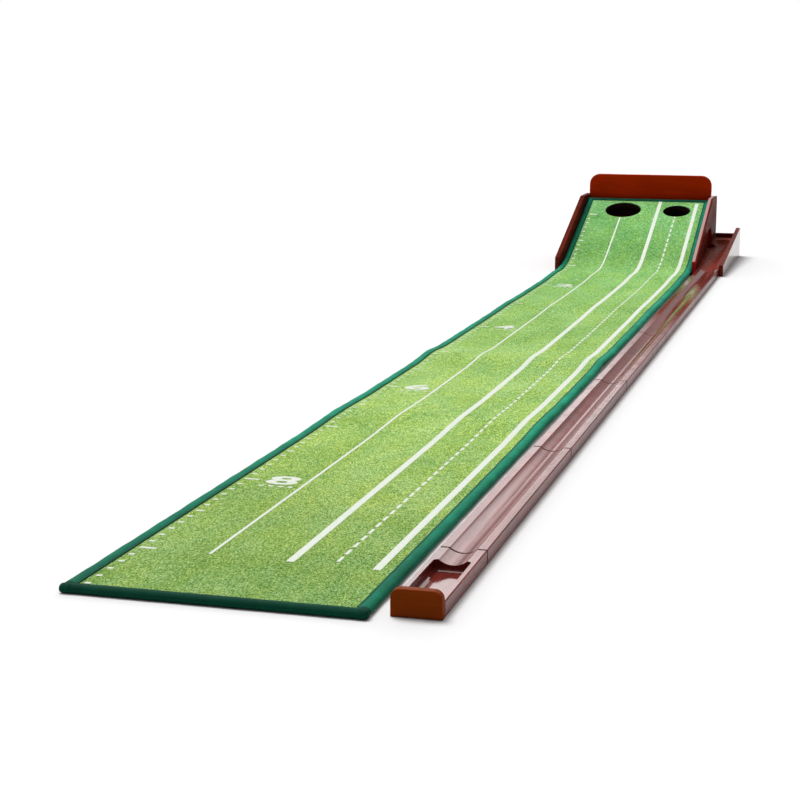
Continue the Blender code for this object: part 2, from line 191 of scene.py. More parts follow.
def cut_round(piece, centre, radius, depth, tilt):
    """Cuts a round hole square to the ramp through the piece."""
    work = bmesh.new()
    bmesh.ops.create_cone(work, cap_ends=True, segments=96, radius1=radius, radius2=radius,
                          depth=depth)
    bmesh.ops.transform(work, matrix=Matrix.Translation(centre) @ Matrix.Rotation(tilt, 4, "X"),
                        verts=work.verts)
    cutter = piece_from("hole_cutter", work)
    bore = piece.modifiers.new("hole", "BOOLEAN")
    bore.operation = "DIFFERENCE"
    bore.solver = "EXACT"
    bore.object = cutter
    applied(piece)
    bpy.data.objects.remove(cutter)


# ------------------------------------------------------------------ shader tools
class Wire:
    """One output of a node. Arithmetic on it adds Math nodes."""

    def __init__(self, nodes, node, output=0):
        self.nodes = nodes
        self.node = node
        self.socket = node.outputs[output] if node.outputs else None

    def out(self, output):
        return Wire(self.nodes, self.node, output)

    def _math(self, operation, first, second):
        return self.nodes.add("ShaderNodeMath", {"operation": operation},
                              {0: first, 1: second})

    def __add__(self, other):
        return self._math("ADD", self, other)

    def __radd__(self, other):
        return self._math("ADD", other, self)

    def __sub__(self, other):
        return self._math("SUBTRACT", self, other)

    def __rsub__(self, other):
        return self._math("SUBTRACT", other, self)

    def __mul__(self, other):
        return self._math("MULTIPLY", self, other)

    def __rmul__(self, other):
        return self._math("MULTIPLY", other, self)

    def __truediv__(self, other):
        return self._math("DIVIDE", self, other)

    def __pow__(self, other):
        return self._math("POWER", self, other)


class Nodes:
    """A node tree that is being built."""

    def __init__(self, tree):
        self.tree = tree

    def add(self, kind, settings, sockets):
        """A node of that type: its settings first, then its sockets' values or links."""
        node = self.tree.nodes.new(kind)
        for key, value in settings.items():
            if key == "stops":
                ramp = node.color_ramp
                while len(ramp.elements) < len(value):
                    ramp.elements.new(0.5)
                for element, (place, colour) in zip(ramp.elements, value):
                    element.position = place
                    element.color = (*colour, 1.0)
            else:
                setattr(node, key, value)
        for key, value in sockets.items():
            self.feed(node.inputs[key], value)
        return Wire(self, node)

    def feed(self, socket, value):
        if isinstance(value, Wire):
            self.tree.links.new(value.socket, socket)
        elif socket.type == "RGBA" and len(value) == 3:
            socket.default_value = (*value, 1.0)
        else:
            socket.default_value = value

    def axis(self, vector, letter):
        return self.add("ShaderNodeSeparateXYZ", {}, {0: vector}).out(letter)


class Finish(Nodes):
    """A material under construction, with a Principled shader at its end."""

    def __init__(self, name):
        self.material = bpy.data.materials.new(name)
        self.material.use_nodes = True
        super().__init__(self.material.node_tree)
        self.shader = self.tree.nodes["Principled BSDF"]
        self.places = self.add("ShaderNodeTexCoord", {}, {}).out("Object")

    def stretched(self, x, y, z):
        """Coordinates in metres times (x, y, z): a larger number gives finer detail that way."""
        return self.add("ShaderNodeVectorMath", {"operation": "MULTIPLY"},
                        {0: self.places, 1: (x, y, z)})

    def noise(self, scale, detail=2.0, roughness=0.5, shift=0.0):
        """Noise from 0 to 1, about 0.5 on average; scale is (x, y, z) per metre."""
        vector = self.add("ShaderNodeVectorMath", {"operation": "ADD"},
                          {0: self.stretched(*scale), 1: (shift, shift * 0.7, shift * 1.3)})
        return self.add("ShaderNodeTexNoise", {},
                        {"Vector": vector, "Scale": 1.0, "Detail": detail,
                         "Roughness": roughness})

    def ramp(self, factor, *stops):
        return self.add("ShaderNodeValToRGB", {"stops": stops}, {0: factor})

    def span(self, value, low, high, to_low=0.0, to_high=1.0):
        """The value from low..high to to_low..to_high, clamped."""
        return self.add("ShaderNodeMapRange", {"clamp": True},
                        {0: value, 1: low, 2: high, 3: to_low, 4: to_high})

    def mix(self, factor, first, second, blend="MIX"):
        """A blend of two colours."""
        node = self.add("ShaderNodeMix", {"data_type": "RGBA", "blend_type": blend},
                        {0: factor, 6: first, 7: second})
        return node.out(2)

    def edge(self, radius):
        """From 0 on a flat face to about 1 on a sharp outer edge."""
        bevel = self.add("ShaderNodeBevel", {"samples": 4}, {"Radius": radius})
        plain = self.add("ShaderNodeNewGeometry", {}, {}).out("True Normal")
        dot = self.add("ShaderNodeVectorMath", {"operation": "DOT_PRODUCT"},
                       {0: bevel, 1: plain}).out("Value")
        return self.span(dot, 0.985, 0.80)

    def facing(self, letter, low, high):
        """From 0 to 1 as a face turns along an axis from low to high."""
        turned = self.add("ShaderNodeNewGeometry", {}, {}).out("Normal")
        return self.span(self.axis(turned, letter), low, high)

    def bump(self, height, strength, distance):
        self.feed(self.shader.inputs["Normal"],
                  self.add("ShaderNodeBump", {},
                           {"Strength": strength, "Distance": distance, "Height": height}))

    def close(self, **constants):
        """Sets the shader's own sockets; a wire goes in as a link."""
        for name, value in constants.items():
            self.feed(self.shader.inputs[name.replace("_", " ")], value)
        return self.material


def tint(colour, share):
    """A darker or lighter colour of the same hue."""
    return tuple(min(c * share, 1.0) for c in colour)


# ------------------------------------------------------------------ materials
PAINTED_LIGHT_TOP = 2.2                                # what a full colour of the turf's painted light ramp stands for
# Painted light and shade on the turf from the front of the mat to the top of the ramp, over some
# real change in the print's green.
TURF_PAINTED_LIGHT = tuple((place, tint(share, 1 / PAINTED_LIGHT_TOP)) for place, share in (
    (0.00, (0.98, 0.93, 1.08)), (0.12, (1.24, 1.07, 1.13)), (0.26, (1.52, 1.33, 1.47)),
    (0.48, (1.39, 1.29, 1.45)), (0.70, (1.19, 1.24, 1.40)), (0.89, (1.16, 1.36, 1.60)),
    (0.95, (1.23, 1.56, 2.12)), (1.00, (1.20, 1.54, 2.10))))


def turf_finish(settings):
    """Short pile with a printed grass pattern: fine flecks, patches of hue and a slight nap, with
    painted light and shade along its length.
    """
    f = Finish("printed_turf")
    fleck = f.noise((640, 250, 640), 3.0, 0.85)
    clump = f.noise((170, 70, 170), 2.0, 0.55, shift=3.0)
    patch = f.noise((13, 7, 13), 2.0, 0.5, shift=9.0)
    mixed = fleck * 0.78 + clump * 0.12 + patch * 0.10
    deep, mid, pale = settings.deep_green, settings.mid_green, settings.pale_green
    colour = f.ramp(mixed, (0.40, tuple(deep)), (0.50, tuple(mid)), (0.595, tuple(pale)))
    dry = f.span(f.noise((420, 180, 420), 1.0, 0.5, shift=21.0), 0.62, 0.76, 0.0, 0.45)
    colour = f.mix(dry, colour, tuple(settings.dry_fibre))
    hue = f.span(f.noise((34, 15, 34), 3.0, 0.6, shift=14.0), 0.38, 0.62)
    colour = f.mix(1.0, colour, f.mix(hue, (1.05, 1.01, 0.88), (0.95, 0.99, 1.10)), "MULTIPLY")
    # painted light and shade: the green is scaled along the mat, brighter in the middle and a bluer
    # green on the ramp
    painted_light_along = f.ramp(f.span(f.axis(f.places, "Y"), Y_FRONT, TOP_Y), *TURF_PAINTED_LIGHT)
    painted_light_along = f.mix(1.0, painted_light_along, (PAINTED_LIGHT_TOP, PAINTED_LIGHT_TOP, PAINTED_LIGHT_TOP), "MULTIPLY")
    colour = f.mix(1.0, colour, painted_light_along, "MULTIPLY")
    height = f.noise((900, 420, 900), 2.0, 0.6, shift=5.0) * 0.6 + fleck * 0.4
    f.bump(height, 0.55, 0.0012)
    return f.close(Base_Color=colour, Roughness=0.95, Specular_IOR_Level=0.10)


def print_finish(settings):
    """White ink on the pile, slightly broken up by the fibres, with painted light that makes it
    brighter on the ramp.
    """
    f = Finish("printed_white")
    fleck = f.noise((560, 235, 560), 2.0, 0.65)
    worn = f.span(fleck, 0.34, 0.46, 0.35, 0.0)
    # painted light: the ink is drawn brighter on the ramp, which gets less light
    ramp_painted_light = f.span(f.axis(f.places, "Y"), BASE_Y - 0.1, BASE_Y + 0.1)
    ink_with_painted_light = f.mix(ramp_painted_light, tuple(settings.ink), tint(settings.ink, 1.32))
    colour = f.mix(worn, ink_with_painted_light, tuple(settings.ink_thin))
    f.bump(f.noise((900, 420, 900), 2.0, 0.6, shift=5.0), 0.4, 0.0010)
    return f.close(Base_Color=colour, Roughness=0.90, Specular_IOR_Level=0.15)


def backing_finish():
    """Dark rubber backing with a fine moulded grain."""
    f = Finish("rubber_backing")
    grain = f.noise((700, 700, 700), 2.0, 0.5)
    colour = f.ramp(grain, (0.35, (0.012, 0.013, 0.012)), (0.65, (0.035, 0.037, 0.034)))
    f.bump(grain, 0.4, 0.0004)
    return f.close(Base_Color=colour, Roughness=0.85)


def tape_finish(settings):
    """Woven binding tape: crossed threads and slight creases, with painted shade along the sewn
    edge, towards the mat's front end, on the front tape, on the ramp and at the top.
    """
    f = Finish("binding_tape")
    threads_x = f.add("ShaderNodeTexWave", {"bands_direction": "X"},
                      {"Vector": f.places, "Scale": 260.0, "Distortion": 0.6})
    threads_y = f.add("ShaderNodeTexWave", {"bands_direction": "Y"},
                      {"Vector": f.places, "Scale": 260.0, "Distortion": 0.6})
    weave = threads_x.out("Fac") * threads_y.out("Fac")
    crease = f.noise((60, 25, 60), 3.0, 0.6)
    shade = crease * 0.65 + weave * 0.35
    green = tuple(settings.tape_green)
    colour = f.ramp(shade, (0.25, tint(green, 0.60)), (0.48, green), (0.75, tint(green, 1.45)))
    along = f.axis(f.places, "Y")
    # painted shade: the tapes darken towards the mat's front end
    painted_shade_front_end = f.span(along, Y_FRONT + 0.004, Y_FRONT + 0.9, 0.55, 0.0)
    # painted shade on the front tape, which faces away from the light
    front = f.span(along, Y_FRONT + TAPE_W + 0.0035, Y_FRONT + TAPE_W + 0.0030, 0.0, 0.33)
    # painted shade on the ramp's tapes, and a deeper one on the top tape under the backboard
    top = f.span(along, BASE_Y, BASE_Y + 0.1, 0.0, 0.22)
    top = top + f.span(along, TOP_Y - 0.018, TOP_Y - 0.012, 0.0, 0.45)
    # the painted shades above all darken the tape towards this deep green
    colour = f.mix(painted_shade_front_end + front + top, colour, tint(green, 0.07))
    # painted shade in the valley along the tape's sewn inner edge
    seam = f.add("ShaderNodeAttribute", {"attribute_name": "seam_shade"}, {}).out("Fac")
    colour = f.mix(seam * 0.75, colour, tint(green, 0.12))
    f.bump(weave * 0.4 + crease * 0.6, 0.5, 0.0007)
    return f.close(Base_Color=colour, Roughness=0.75, Specular_IOR_Level=0.06)


def thread_finish(settings):
    f = Finish("sewing_thread")
    twist = f.noise((1500, 600, 1500), 1.0, 0.5)
    green = tuple(settings.tape_green)
    colour = f.ramp(twist, (0.35, tint(green, 0.30)), (0.65, tint(green, 0.75)))
    f.bump(twist, 0.5, 0.0002)
    return f.close(Base_Color=colour, Roughness=0.6)


def wood_finish(name, colour, grain_along, dark=0.45, light=1.6, roughness=0.22, ior=1.30,
                streaks=0.5, worn=(0.42, 0.06, 0.03), wear=0.5, joints=False, turned=(),
                shiny_side=False):
    """Stained and lacquered wood: long grain, short pores, blotchy stain and rubbed edges."""
    f = Finish(name)
    fine = {"X": (9, 420, 420), "Y": (420, 9, 420)}[grain_along]
    broad = {"X": (2.2, 60, 60), "Y": (60, 2.2, 60)}[grain_along]
    pores = {"X": (60, 1400, 1400), "Y": (1400, 60, 1400)}[grain_along]
    grain = f.noise(fine, 3.0, 0.6)
    band = f.noise(broad, 3.0, 0.55, shift=4.0)
    blotch = f.noise((7, 7, 7), 2.0, 0.5, shift=8.0)
    tone = grain * (streaks * 0.5) + band * 0.35 + blotch * (0.65 - streaks * 0.5)
    stain = f.ramp(tone, (0.33, tint(colour, dark)), (0.50, colour), (0.68, tint(colour, light)))
    pore = f.span(f.noise(pores, 1.0, 0.5, shift=15.0), 0.66, 0.78)
    stain = f.mix(pore * 0.45, stain, tint(colour, 0.25))
    if joints:
        along = f.axis(f.places, "Y")
        turn = (along - BASE_Y) / SECTION_L
        near = f.add("ShaderNodeMath", {"operation": "PINGPONG"}, {0: turn, 1: 0.5})
        gap = f.span(near, 0.0046, 0.0034)
        stain = f.mix(gap * 0.95, stain, tint(colour, 0.05))
    rubbed = f.edge(0.0012) * f.span(f.noise((45, 45, 45), 2.0, 0.6, shift=30.0), 0.35, 0.6)
    stain = f.mix(rubbed * wear, stain, worn)
    # colour set by which way a face turns: a painted highlight on the right panel's top, painted
    # shade on the backboard's back, and a brighter red on the right panel's front faces
    for letter, low, high, shade, reach in turned:
        inner = f.span(f.axis(f.places, "X"), reach, reach + 0.0006, 0.85, 0.0)
        stain = f.mix(f.facing(letter, low, high) * inner, stain, shade)
    if shiny_side:
        f.close(Coat_Weight=f.facing("X", 0.6, 0.9), Coat_Roughness=0.12)
    gloss = f.span(f.noise((35, 35, 35), 2.0, 0.6, shift=12.0), 0.3, 0.7, roughness * 0.8,
                   roughness * 1.35)
    if joints:
        gloss = gloss + gap + f.facing("X", 0.6, 0.9) * 0.15
    f.bump(grain * 0.5 + f.noise((160, 160, 160), 1.0, 0.5, shift=2.0) * 0.5, 0.10, 0.0006)
    return f.close(Base_Color=stain, Roughness=gloss, IOR=ior)


def raw_wood_finish(name, colour, grain_along):
    """Thinly stained plywood inside the base: open grain and no lacquer."""
    f = Finish(name)
    fine = {"X": (12, 300, 300), "Y": (300, 12, 300)}[grain_along]
    grain = f.noise(fine, 3.0, 0.6)
    blotch = f.noise((9, 9, 9), 2.0, 0.5, shift=7.0)
    tone = grain * 0.6 + blotch * 0.4
    tone_colour = f.ramp(tone, (0.35, tint(colour, 0.6)), (0.5, colour), (0.68, tint(colour, 1.3)))
    f.bump(grain, 0.25, 0.0004)
    return f.close(Base_Color=tone_colour, Roughness=0.75, Specular_IOR_Level=0.15)


def brass_finish():
    f = Finish("brushed_brass")
    brushed = f.noise((80, 1800, 1800), 2.0, 0.5)
    colour = f.ramp(brushed, (0.35, (0.40, 0.27, 0.09)), (0.65, (0.72, 0.55, 0.25)))
    f.bump(brushed, 0.2, 0.0002)
    return f.close(Base_Color=colour, Roughness=f.span(brushed, 0.3, 0.7, 0.25, 0.42),
                   Metallic=1.0)


# ------------------------------------------------------------------ settings a user may change
def colour_prop(name, description, default):
    return FloatVectorProperty(name=name, description=description, default=default,
                               subtype="COLOR", size=3, min=0.0, max=1.0)


def length_prop(name, description, default):
    return FloatProperty(name=name, description=description, default=default, min=0.0,
                         unit="LENGTH")


class MatSettings(PropertyGroup):
    """Turf and binding."""

    wave_height: length_prop("Wave height", "Height of the rises left by the roll", 0.0030)
    stitch_pitch: length_prop("Stitch pitch", "Distance between stitches", 0.0038)
    stitch_sides: IntProperty(name="Stitch sides", description="Sides of one round stitch",
                              default=5, min=3, max=12)
    deep_green: colour_prop("Deep green", "Darkest flecks of the pile", (0.040, 0.130, 0.018))
    mid_green: colour_prop("Mid green", "Main colour of the pile", (0.165, 0.340, 0.055))
    pale_green: colour_prop("Pale green", "Lightest flecks of the pile", (0.420, 0.590, 0.210))
    dry_fibre: colour_prop("Dry fibre", "Scattered brown fibres", (0.300, 0.260, 0.090))
    tape_green: colour_prop("Tape green", "Binding tape", (0.008, 0.280, 0.155))


class MarkSettings(PropertyGroup):
    """Printed lines, distance marks and numbers."""

    thin_line: length_prop("Thin line", "Width of the thin aim lines", 0.0035)
    thick_line: length_prop("Thick line", "Width of the thick lane lines", 0.0085)
    dash: length_prop("Dash", "Length of one dash", 0.0180)
    dash_pitch: length_prop("Dash pitch", "From one dash to the next", 0.0270)
    ink: colour_prop("Ink", "White print", (0.660, 0.700, 0.620))
    ink_thin: colour_prop("Thin ink", "White print where the pile shows", (0.380, 0.520, 0.260))


class WoodSettings(PropertyGroup):
    """Stains and lacquer."""

    panel: colour_prop("Panel stain", "Side panels and wing", (0.130, 0.018, 0.011))
    tray: colour_prop("Tray stain", "Floor of the side tray", (0.185, 0.034, 0.022))
    board: colour_prop("Board stain", "Backboard", (0.500, 0.028, 0.001))
    track: colour_prop("Track stain", "Ball track sections", (0.165, 0.026, 0.020))
    cap: colour_prop("Cap stain", "End cap of the track", (0.190, 0.032, 0.003))
    inside: colour_prop("Inside stain", "Unlacquered wood inside the base", (0.030, 0.009, 0.006))
    dowel: colour_prop("Dowel beech", "Pins in the track joints", (0.520, 0.330, 0.170))
    edge_round: length_prop("Edge round", "Rounding of the wood's sharp edges", 0.0005)


class StageSettings(PropertyGroup):
    """Floor, light and camera."""

    floor: colour_prop("Floor", "Studio floor", (0.800, 0.800, 0.800))
    key_strength: FloatProperty(name="Key light", description="Strength of the soft key light",
                                default=2.55, min=0.0)
    sky_strength: FloatProperty(name="Sky", description="Strength of the light all around",
                                default=1.0, min=0.0)
    lens: FloatProperty(name="Lens", description="Focal length on a 36 mm sensor",
                        default=79.53, min=10.0, unit="CAMERA")


# ------------------------------------------------------------------ turf
class PUTTINGMAT_OT_turf(Operator):
    """Make the turf sheet with its two holes and rubber backing"""

    bl_idname = "puttingmat.turf"
    bl_label = "Turf"

    def execute(self, context):
        settings = context.scene.puttingmat_mat
        wide = MAT_W - 2 * TURF_INSET
        work = bmesh.new()
        layers = []
        for rise in (SHEET_TOP, SHEET_LOW):
            rows = []
            for s in stations(TURF_INSET, MAT_L - TURF_INSET):
                rows.append([on_mat(TURF_INSET + wide * i / TURF_COLUMNS, s, rise,
                                    settings.wave_height) for i in range(TURF_COLUMNS + 1)])
            layers.append(loft(work, rows, closed_rows=False))
        top, low = layers
        rim_top = top[0] + [r[-1] for r in top[1:]] + top[-1][-2::-1] + [r[0] for r in top[-2:0:-1]]
        rim_low = low[0] + [r[-1] for r in low[1:]] + low[-1][-2::-1] + [r[0] for r in low[-2:0:-1]]
        for i, vert in enumerate(rim_top):
            j = (i + 1) % len(rim_top)
            work.faces.new((vert, rim_top[j], rim_low[j], rim_low[i]))
        turf = piece_from("turf", work, smooth=False)
        for across, radius in HOLES:
            centre = on_mat(across, HOLE_S, 0.003, 0)
            cut_round(turf, centre, radius, 0.06, RAMP)
        turf.data.materials.clear()
        turf.data.materials.append(turf_finish(settings))
        turf.data.materials.append(backing_finish())
        for face in turf.data.polygons:
            face.material_index = 0 if face.normal.z > 0.5 else 1
        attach(turf, "base")
        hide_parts("turf_runner", "turf_ramp")
        return {"FINISHED"}


# ------------------------------------------------------------------ binding
def tape_profile():
    """Cross-section (in from the edge, height) of the folded tape, outside then inside."""
    outer = [(0.0145, 0.0063), (0.0140, 0.0070), (0.0128, 0.0069), (0.0116, 0.0072),
             (0.0100, 0.0080), (0.0068, 0.0085), (0.0042, 0.0083), (0.0020, 0.0073),
             (0.0006, 0.0058), (0.0000, 0.0042), (0.0002, 0.0026), (0.0012, 0.0011),
             (0.0030, 0.0003), (0.0060, 0.0000), (0.0110, 0.0000)]
    inner = [(0.0110, 0.0005), (0.0030, 0.0005), (0.0020, 0.0030), (0.0030, 0.0061),
             (0.0145, 0.0061)]
    return outer + inner


def fold_outline():
    """Cross-section of the tucked end, a little fuller than the tape."""
    return [(0.0110, 0.0062), (0.0100, 0.0080), (0.0068, 0.0088), (0.0040, 0.0086),
            (0.0016, 0.0075), (0.0002, 0.0058), (-0.0003, 0.0040), (0.0000, 0.0022),
            (0.0010, 0.0008), (0.0034, 0.0000), (0.0110, 0.0000)]


def crumple(along, seed):
    """A small unevenness of the sewn tape along its length."""
    return 0.00012 * sin(along * 61 + seed) + 0.00008 * sin(along * 143 + seed * 2.3)


def stitch(work, start, end, radius, sides):
    """One stitch: a short thread that dips into the cloth at both ends."""
    along = end - start
    up = Vector((0, 0, 1))
    side = along.cross(up).normalized()
    up = side.cross(along).normalized()
    rows = []
    for t, lift, share in ((0.0, -0.5, 0.4), (0.15, 0.35, 0.9), (0.5, 0.7, 1.0),
                           (0.85, 0.35, 0.9), (1.0, -0.5, 0.4)):
        centre = start + along * t + up * (radius * lift)
        ring = []
        for i in range(sides):
            a = 2 * pi * i / sides
            ring.append(centre + (side * cos(a) + up * sin(a)) * (radius * share))
        rows.append(ring)
    loft(work, rows)


class PUTTINGMAT_OT_binding(Operator):
    """Make the folded tape round the mat's four edges, its tucked corners and stitching"""

    bl_idname = "puttingmat.binding"
    bl_label = "Binding"

    def side_tape(self, name, place, length_from, length_to, seed):
        work = bmesh.new()
        rows = []
        for s in stations(length_from, length_to, 0.005):
            swell = crumple(s, seed)
            rows.append([place(u - (swell if u < 0.004 else 0), s,
                               r + (swell if 0.0035 < r else 0)) for u, r in tape_profile()])
        loft(work, rows)
        made = piece_from(name, work)
        profile = tape_profile()
        # painted shade: points in the valley by the tape's sewn inner edge are marked for darkening
        shade = made.data.attributes.new("seam_shade", "FLOAT", "POINT")
        for i, spot in enumerate(shade.data):
            u = profile[i % len(profile)][0]
            spot.value = min(max((u - 0.0108) / 0.0020, 0.0), 1.0)
        return made

    def execute(self, context):
        settings = context.scene.puttingmat_mat
        height = settings.wave_height
        tape = tape_finish(settings)
        runs = {
            "binding_tape_left": (lambda u, s, r: on_mat(u, s, r, height),
                                  TAPE_W * 0.9, MAT_L - TAPE_W * 0.9),
            "binding_tape_right": (lambda u, s, r: on_mat(MAT_W - u, s, r, height),
                                   TAPE_W * 0.9, MAT_L - TAPE_W * 0.9),
            "binding_tape_front": (lambda u, s, r: on_mat(s, u, r, height),
                                   0.006, MAT_W - 0.006),
            "binding_tape_top": (lambda u, s, r: on_mat(s, MAT_L - u, r, height),
                                 0.006, MAT_W - 0.006),
        }
        for seed, (name, (place, start, end)) in enumerate(runs.items()):
            made = self.side_tape(name, place, start, end, seed * 1.7)
            made.data.materials.append(tape)
            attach(made, "base")
            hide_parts(name.replace("_tape", ""))
        self.corners(height, tape)
        self.stitches(runs, settings)
        return {"FINISHED"}

    def corners(self, height, tape):
        """The tucked ends of the front and top tapes."""
        ends = {
            "tucked_end_front_left": lambda u, s, r: on_mat(s, u, r, height),
            "tucked_end_front_right": lambda u, s, r: on_mat(MAT_W - s, u, r, height),
            "tucked_end_top_left": lambda u, s, r: on_mat(s, MAT_L - u, r, height),
            "tucked_end_top_right": lambda u, s, r: on_mat(MAT_W - s, MAT_L - u, r, height),
        }
        for name, place in ends.items():
            work = bmesh.new()
            rows = []
            for s, share in ((0.0000, 0.62), (0.0006, 0.82), (0.0016, 0.94), (0.0032, 1.0),
                             (0.0075, 1.02), (0.0100, 1.0), (0.0110, 0.96), (0.0113, 0.90)):
                ring = []
                for u, r in fold_outline():
                    middle_u, middle_r = 0.0056, 0.0040
                    ring.append(place(middle_u + (u - middle_u) * share, s,
                                      max(middle_r + (r - middle_r) * share, 0.0)))
                rows.append(ring)
            loft(work, rows)
            made = piece_from(name, work)
            made.data.materials.append(tape)
            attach(made, "base")

    def stitches(self, runs, settings):
        """The seam on the inner edge of the tape."""
        work = bmesh.new()
        for place, start, end in runs.values():
            count = int((end - start - 0.016) / settings.stitch_pitch)
            for i in range(count):
                s = start + 0.008 + i * settings.stitch_pitch
                stitch(work, place(0.0127, s, 0.0071), place(0.0127, s + 0.0027, 0.0071),
                       STITCH_R, settings.stitch_sides)
        seam = piece_from("seam_stitches", work)
        seam.data.materials.append(thread_finish(settings))
        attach(seam, "base")


# ------------------------------------------------------------------ printed marks
PRINT_RISE = SHEET_TOP + 0.00022
NUMBER_W = 0.0385
NUMBER_H = 0.0400
NUMBER_AHEAD = 0.0030
UNIT_BELOW = 0.0290                            # four plain dashes below each number
UNIT_PITCH = 0.0118
UNIT_W = 0.0062
UNIT_H = 0.0050


def printed_bar(work, across, start, end, width, height):
    """A bar along the mat, centred at across from the tick line."""
    left = TICK_LINE + across - width / 2
    rows = []
    for s in stations(start, end):
        rows.append([on_mat(left, s, PRINT_RISE, height),
                     on_mat(left + width, s, PRINT_RISE, height)])
    loft(work, rows, closed_rows=False)


def line_under_hole(radius):
    """Where a line that runs up to a hole stops."""
    return HOLE_S - radius - 0.001


class PUTTINGMAT_OT_lines(Operator):
    """Print the aim lines and the lane lines"""

    bl_idname = "puttingmat.lines"
    bl_label = "Aim lines"

    def execute(self, context):
        marks = context.scene.puttingmat_marks
        height = context.scene.puttingmat_mat.wave_height
        large_stop, small_stop = (line_under_hole(radius) for across, radius in HOLES)
        work = bmesh.new()
        printed_bar(work, 0.0797, NINE_FOOT - 0.004, large_stop, marks.thin_line, height)
        printed_bar(work, 0.1659, NINE_FOOT - 0.008, MAT_L - 0.0125, marks.thick_line, height)
        printed_bar(work, 0.2560, NINE_FOOT - 0.012, MAT_L - 0.0215, marks.thick_line, height)
        s = NINE_FOOT + 0.0045
        while s < small_stop:
            printed_bar(work, 0.2116, s, min(s + marks.dash, small_stop), marks.thin_line, height)
            s += marks.dash_pitch
        lines = piece_from("aim_lines", work)
        lines.data.materials.append(print_finish(marks))
        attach(lines, "base")
        return {"FINISHED"}


class PUTTINGMAT_OT_distance_marks(Operator):
    """Print the inch, half foot and foot marks and the numbers"""

    bl_idname = "puttingmat.distance_marks"
    bl_label = "Distance marks"

    def number(self, text, middle, material, height):
        """A wide printed number laid on the turf, reading from the player's end."""
        curve = bpy.data.curves.new("number_" + text, "FONT")
        curve.body = text
        curve.align_x = "CENTER"
        curve.align_y = "CENTER"
        curve.size = 1.0
        curve.offset = 0.028
        curve.resolution_u = 6
        letter = bpy.data.objects.new("number_" + text, curve)
        bpy.context.scene.collection.objects.link(letter)
        seen = letter.evaluated_get(bpy.context.evaluated_depsgraph_get())
        mesh = bpy.data.meshes.new_from_object(seen)
        bpy.data.objects.remove(letter)
        work = bmesh.new()
        work.from_mesh(mesh)
        bpy.data.meshes.remove(mesh)
        xs = [v.co.x for v in work.verts]
        ys = [v.co.y for v in work.verts]
        mid_x, mid_y = (max(xs) + min(xs)) / 2, (max(ys) + min(ys)) / 2
        wide, tall = max(xs) - min(xs), max(ys) - min(ys)
        for v in work.verts:
            u = TICK_LINE + 0.0495 + (v.co.x - mid_x) / wide * NUMBER_W
            s = middle + NUMBER_AHEAD + (v.co.y - mid_y) / tall * NUMBER_H
            v.co = on_mat(u, s, PRINT_RISE, height)
        digit = piece_from("distance_number_" + text, work)
        digit.data.materials.append(material)
        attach(digit, "base")

    def execute(self, context):
        marks = context.scene.puttingmat_marks
        height = context.scene.puttingmat_mat.wave_height
        material = print_finish(marks)
        work = bmesh.new()
        for inch in range(-5, 109):
            middle = NINE_FOOT + inch * INCH
            if middle > MAT_L - 0.095:
                break
            reach = 0.0188 if inch % 12 == 0 else 0.0095 if inch % 6 == 0 else 0.0063
            printed_bar(work, 0.0017 + reach / 2, middle - 0.0024, middle + 0.0024, reach, height)
        for feet in (8, 6, 4, 2):
            below = NINE_FOOT + (9 - feet) * FOOT + NUMBER_AHEAD - UNIT_BELOW
            for i in range(4):
                printed_bar(work, 0.0495 + (i - 1.5) * UNIT_PITCH, below - UNIT_H / 2,
                            below + UNIT_H / 2, UNIT_W, height)
        ticks = piece_from("distance_marks", work)
        ticks.data.materials.append(material)
        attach(ticks, "base")
        for feet in (8, 6, 4, 2):
            self.number(str(feet), NINE_FOOT + (9 - feet) * FOOT, material, height)
        return {"FINISHED"}


